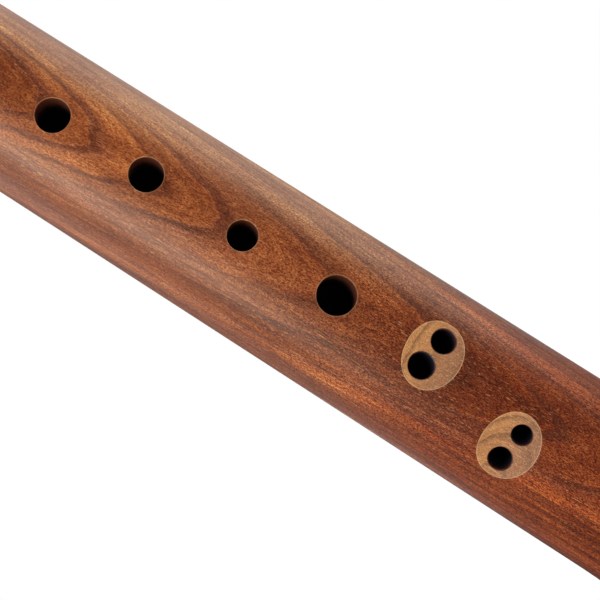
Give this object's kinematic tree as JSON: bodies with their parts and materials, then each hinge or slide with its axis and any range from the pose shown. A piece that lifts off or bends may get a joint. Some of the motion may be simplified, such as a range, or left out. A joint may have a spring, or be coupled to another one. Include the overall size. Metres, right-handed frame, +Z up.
{
  "type": "small clarinet",
  "caption": "Small keyed clarinet with a one-piece turned wooden body, recorder fingering, dished double holes, single-reed mouthpiece and sprung keys.",
  "frame": {"origin": "centre of the foot face, on the bore's axis", "axes": "+Z up the bore towards the mouthpiece's tip, -Y the way the front finger holes face, -X the player's right hand"},
  "size_m": [0.0388, 0.0441, 0.318],
  "materials": {
    "plum_wood": "oiled satin fruitwood, raw and lighter in the dishes",
    "nickel_silver": "polished",
    "black_ebonite": "polished black",
    "cork": "raw cork",
    "cane": "scraped cane with glossy bark",
    "pad_leather": "matt",
    "steel": "polished",
    "spring_steel": "blued"
  },
  "bodies": {
    "root": {"body": "plum_wood", "socket_ring": "nickel_silver", "front_key_axle": "steel", "front_key_post_left": "nickel_silver", "front_key_post_right": "nickel_silver", "back_key_axle": "steel", "back_key_post_left": "nickel_silver", "back_key_post_right": "nickel_silver", "thumb_rest": "nickel_silver", "thumb_rest_screw_lower": "steel", "thumb_rest_screw_upper": "steel"},
    "mouthpiece": {"mouthpiece": "black_ebonite", "tenon_cork": "cork"},
    "reed": {"reed": "cane"},
    "ligature": {"ligature_band": "nickel_silver"},
    "ligature_screw_upper": {"ligature_screw_upper": "nickel_silver"},
    "ligature_screw_lower": {"ligature_screw_lower": "nickel_silver"},
    "front_key": {"front_key_lever": "nickel_silver", "front_key_pad": "pad_leather", "front_key_spring": "spring_steel", "front_key_spring_screw": "steel", "front_key_bumper": "cork"},
    "back_key": {"back_key_lever": "nickel_silver", "back_key_pad": "pad_leather", "back_key_spring": "spring_steel", "back_key_spring_screw": "steel", "back_key_bumper": "cork"}
  },
  "joints": [
    {"name": "front_key_hinge", "type": "hinge", "parent": "root", "child": "front_key", "pos_m": [0, -0.0184, 0.214], "axis": [1, 0, 0], "range_deg": [0, 7], "stiffness_Nm_per_rad": 0.03, "springref_deg": -22.92, "deforming": ["front_key_spring"]},
    {"name": "back_key_hinge", "type": "hinge", "parent": "root", "child": "back_key", "pos_m": [0, 0.0184, 0.221], "axis": [-1, 0, 0], "range_deg": [0, 7], "stiffness_Nm_per_rad": 0.03, "springref_deg": -22.92, "deforming": ["back_key_spring"]},
    {"name": "mouthpiece_pull", "type": "slide", "parent": "root", "child": "mouthpiece", "axis": [0, 0, 1], "range_m": [0, 0.016]},
    {"name": "reed_slide", "type": "slide", "parent": "mouthpiece", "child": "reed", "axis": [0, -0.0349, 0.9994], "range_m": [0, 0.03]},
    {"name": "ligature_slide", "type": "slide", "parent": "mouthpiece", "child": "ligature", "axis": [0, 0, 1], "range_m": [0, 0.055]},
    {"name": "ligature_screw_upper_turn", "type": "hinge", "parent": "ligature", "child": "ligature_screw_upper", "pos_m": [0, 0.0151, 0.2826], "axis": [-1, 0, 0], "range_deg": [0, 1080]},
    {"name": "ligature_screw_lower_turn", "type": "hinge", "parent": "ligature", "child": "ligature_screw_lower", "pos_m": [0, 0.0151, 0.2722], "axis": [-1, 0, 0], "range_deg": [0, 1080]}
  ]
}
